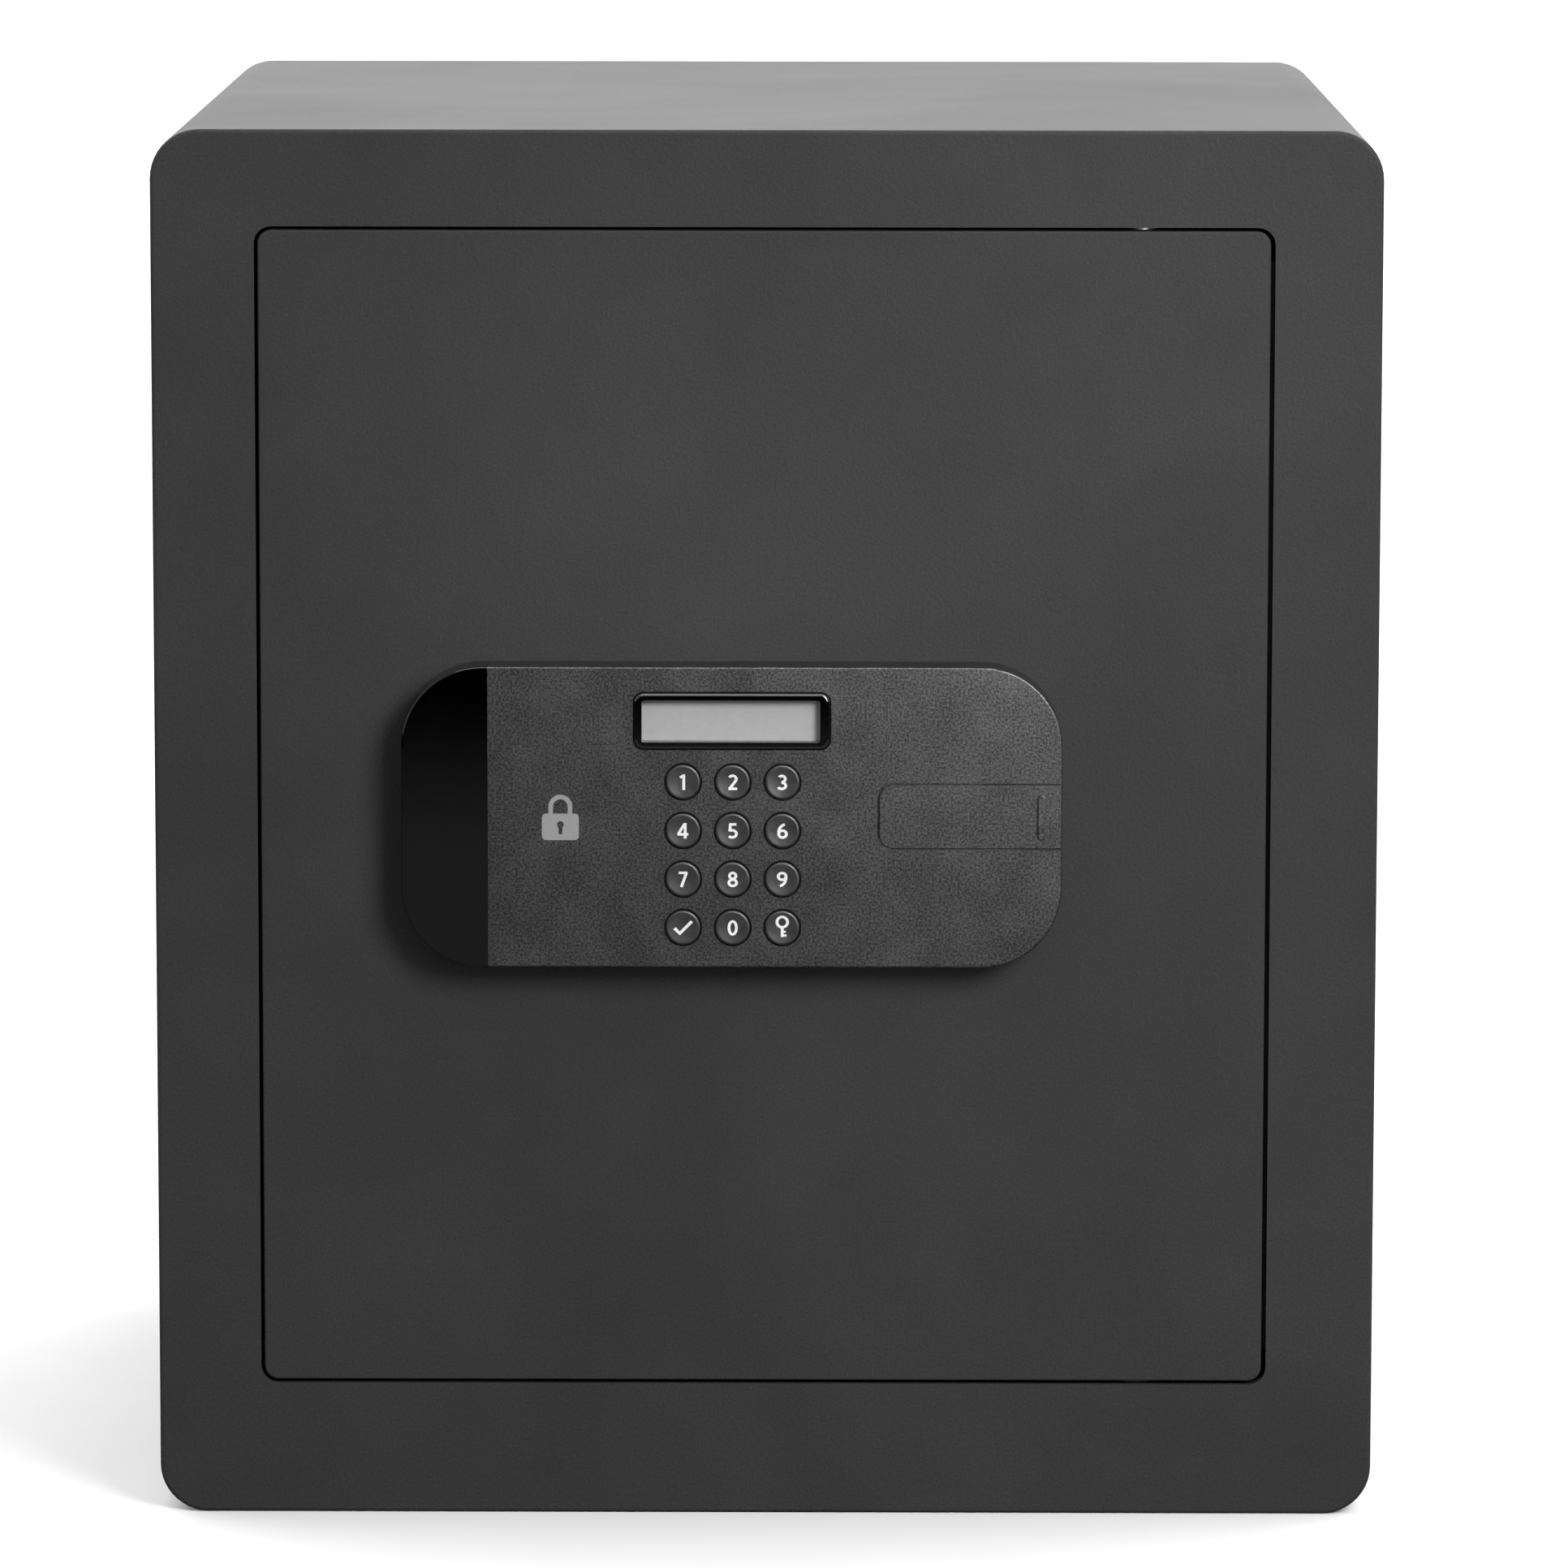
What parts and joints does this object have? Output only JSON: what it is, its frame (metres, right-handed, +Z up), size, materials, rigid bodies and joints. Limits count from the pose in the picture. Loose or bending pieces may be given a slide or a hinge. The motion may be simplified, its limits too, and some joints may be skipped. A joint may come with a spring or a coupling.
{
  "type": "in room safe",
  "caption": "Compact electronic room safe with a flush concealed-hinge steel door, motor-driven bolts, keypad fascia and sliding lock cover.",
  "frame": {"origin": "centre of the cabinet's underside", "axes": "+Z up, +Y from the front to the back, +X to the right seen from the front"},
  "size_m": [0.35, 0.355, 0.4],
  "materials": {
    "powder_coat": "fine textured charcoal powder coat",
    "bronze": "sintered bronze",
    "carpet": "needle felt",
    "zinc_steel": "bright zinc plated steel",
    "bolt_chrome": "polished chrome plate",
    "gear_brass": "machined brass",
    "motor_metal": "motor can and gearbox",
    "lock_metal": "satin nickel",
    "tray_plastic": "black moulded ABS",
    "cell_wrap": "shrink sleeve on an AA cell",
    "contact_nickel": "nickel plated spring steel",
    "board_green": "solder mask on glass-epoxy",
    "board_black": "moulded packages and plugs",
    "lead_pvc": "PVC sleeved leads",
    "reset_red": "red moulded plastic",
    "fascia_abs": "fine textured dark ABS",
    "gloss_black": "piano black",
    "gasket_rubber": "black rubber",
    "lens_clear": "clear display lens",
    "lcd_grey": "reflective liquid crystal panel",
    "key_black": "satin black keys"
  },
  "bodies": {
    "cabinet": {"cabinet_shell": "powder_coat", "front_frame": "powder_coat", "back_plate": "powder_coat", "lock_jamb": "powder_coat", "hinge_jamb": "powder_coat", "head_rail": "powder_coat", "sill_rail": "powder_coat", "hinge_bushes": "bronze", "floor_mat": "carpet", "shelf": "powder_coat", "shelf_supports": "powder_coat"},
    "bolt_work": {"bolt_carriage": "zinc_steel", "live_bolts": "bolt_chrome", "bolt_screws": "zinc_steel", "rack": "zinc_steel"},
    "pinion": {"drive_pinion": "gear_brass"},
    "key_turner": {"key_plug": "lock_metal", "lock_cam": "lock_metal"},
    "lock_slide": {"slide_cover": "fascia_abs"},
    "battery_lid": {"battery_cover": "tray_plastic"},
    "reset": {"reset_button": "reset_red"},
    "key_1_cap": {"key_1": "key_black"},
    "key_2_cap": {"key_2": "key_black"},
    "key_3_cap": {"key_3": "key_black"},
    "key_4_cap": {"key_4": "key_black"},
    "key_5_cap": {"key_5": "key_black"},
    "key_6_cap": {"key_6": "key_black"},
    "key_7_cap": {"key_7": "key_black"},
    "key_8_cap": {"key_8": "key_black"},
    "key_9_cap": {"key_9": "key_black"},
    "key_0_cap": {"key_0": "key_black"},
    "key_enter_cap": {"key_enter": "key_black"},
    "key_override_cap": {"key_override": "key_black"},
    "door": {"anti_pry_bar": "powder_coat", "batteries": "cell_wrap", "battery_contacts": "contact_nickel", "battery_tray": "tray_plastic", "board_parts": "board_black", "bolt_guide": "zinc_steel", "bolt_work_cover": "powder_coat", "control_board": "board_green", "cover_screws": "zinc_steel", "door_plate": "powder_coat", "fascia_board": "board_green", "fascia_gasket": "gasket_rubber", "fascia_housing": "fascia_abs", "fascia_screws": "zinc_steel", "gear_motor": "motor_metal", "gloss_end_cap": "gloss_black", "guide_studs": "zinc_steel", "hinge_blocks": "powder_coat", "hinge_pins": "zinc_steel", "keypad_mat": "gasket_rubber", "lcd_bezel": "gloss_black", "lcd_panel": "lcd_grey", "lcd_window": "lens_clear", "leads": "lead_pvc", "lock_body": "lock_metal", "lock_nut": "zinc_steel", "motor_bracket": "zinc_steel"}
  },
  "joints": [
    {"name": "door_hinge", "type": "hinge", "parent": "cabinet", "child": "door", "pos_m": [0.1071, -0.1595, 0.2], "axis": [0, 0, 1], "range_deg": [0, 110]},
    {"name": "bolt_throw", "type": "slide", "parent": "door", "child": "bolt_work", "axis": [-1, 0, 0], "range_m": [0, 0.018]},
    {"name": "pinion_turn", "type": "hinge", "parent": "door", "child": "pinion", "pos_m": [0.008, -0.13, 0.2431], "axis": [0, 1, 0], "range_deg": [0, 115]},
    {"name": "key_turn", "type": "hinge", "parent": "door", "child": "key_turner", "pos_m": [0.044, -0.15, 0.2056], "axis": [0, -1, 0], "range_deg": [-46, 0]},
    {"name": "slide_cover_open", "type": "slide", "parent": "door", "child": "lock_slide", "axis": [1, 0, 0], "range_m": [0, 0.03]},
    {"name": "battery_lid_slide", "type": "slide", "parent": "door", "child": "battery_lid", "axis": [0, 0, -1], "range_m": [0, 0.055]},
    {"name": "reset_press", "type": "slide", "parent": "door", "child": "reset", "axis": [0, -1, 0], "range_m": [0, 0.0015], "stiffness_N_per_m": 600},
    {"name": "key_1_press", "type": "slide", "parent": "door", "child": "key_1_cap", "axis": [0, 1, 0], "range_m": [0, 0.001], "stiffness_N_per_m": 800},
    {"name": "key_2_press", "type": "slide", "parent": "door", "child": "key_2_cap", "axis": [0, 1, 0], "range_m": [0, 0.001], "stiffness_N_per_m": 800},
    {"name": "key_3_press", "type": "slide", "parent": "door", "child": "key_3_cap", "axis": [0, 1, 0], "range_m": [0, 0.001], "stiffness_N_per_m": 800},
    {"name": "key_4_press", "type": "slide", "parent": "door", "child": "key_4_cap", "axis": [0, 1, 0], "range_m": [0, 0.001], "stiffness_N_per_m": 800},
    {"name": "key_5_press", "type": "slide", "parent": "door", "child": "key_5_cap", "axis": [0, 1, 0], "range_m": [0, 0.001], "stiffness_N_per_m": 800},
    {"name": "key_6_press", "type": "slide", "parent": "door", "child": "key_6_cap", "axis": [0, 1, 0], "range_m": [0, 0.001], "stiffness_N_per_m": 800},
    {"name": "key_7_press", "type": "slide", "parent": "door", "child": "key_7_cap", "axis": [0, 1, 0], "range_m": [0, 0.001], "stiffness_N_per_m": 800},
    {"name": "key_8_press", "type": "slide", "parent": "door", "child": "key_8_cap", "axis": [0, 1, 0], "range_m": [0, 0.001], "stiffness_N_per_m": 800},
    {"name": "key_9_press", "type": "slide", "parent": "door", "child": "key_9_cap", "axis": [0, 1, 0], "range_m": [0, 0.001], "stiffness_N_per_m": 800},
    {"name": "key_0_press", "type": "slide", "parent": "door", "child": "key_0_cap", "axis": [0, 1, 0], "range_m": [0, 0.001], "stiffness_N_per_m": 800},
    {"name": "key_enter_press", "type": "slide", "parent": "door", "child": "key_enter_cap", "axis": [0, 1, 0], "range_m": [0, 0.001], "stiffness_N_per_m": 800},
    {"name": "key_override_press", "type": "slide", "parent": "door", "child": "key_override_cap", "axis": [0, 1, 0], "range_m": [0, 0.001], "stiffness_N_per_m": 800}
  ],
  "couplings": [
    {"joint": "pinion_turn", "follows": "bolt_throw", "rad_per_m": 111.11}
  ]
}
